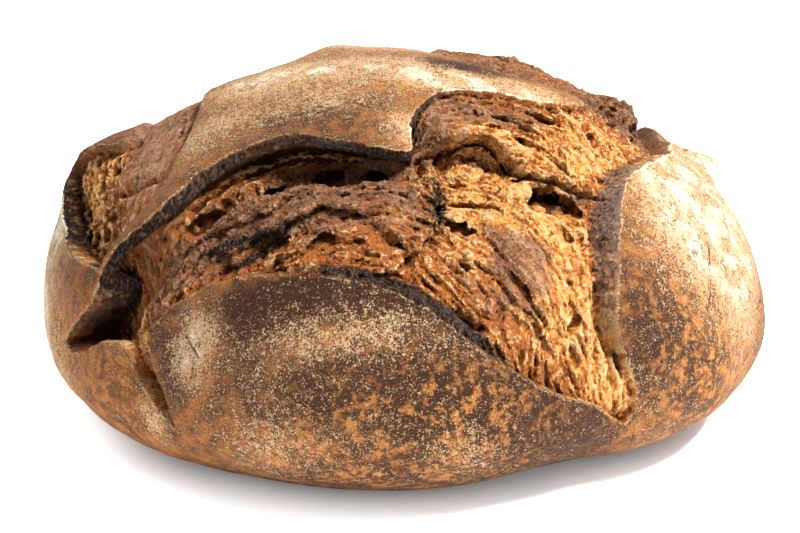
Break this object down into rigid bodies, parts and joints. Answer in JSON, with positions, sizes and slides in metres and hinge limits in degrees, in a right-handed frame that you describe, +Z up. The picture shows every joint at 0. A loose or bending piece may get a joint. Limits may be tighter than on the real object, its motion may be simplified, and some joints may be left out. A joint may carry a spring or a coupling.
{
  "type": "sourdough boule",
  "caption": "Whole round sourdough loaf with a flat base, scored in a square on top and torn wide open, with a raised ear and craggy crumb between floured crust panels.",
  "frame": {"origin": "middle of the flat base that the loaf rests on", "axes": "+Z up through the crown, -Y towards the side with the widest tear, +X to its right"},
  "size_m": [0.2582, 0.249, 0.1264],
  "materials": {
    "crust": "matte baked crust, floured, burnt at the torn edges"
  },
  "bodies": {
    "root": {"boule": "crust"}
  },
  "joints": []
}
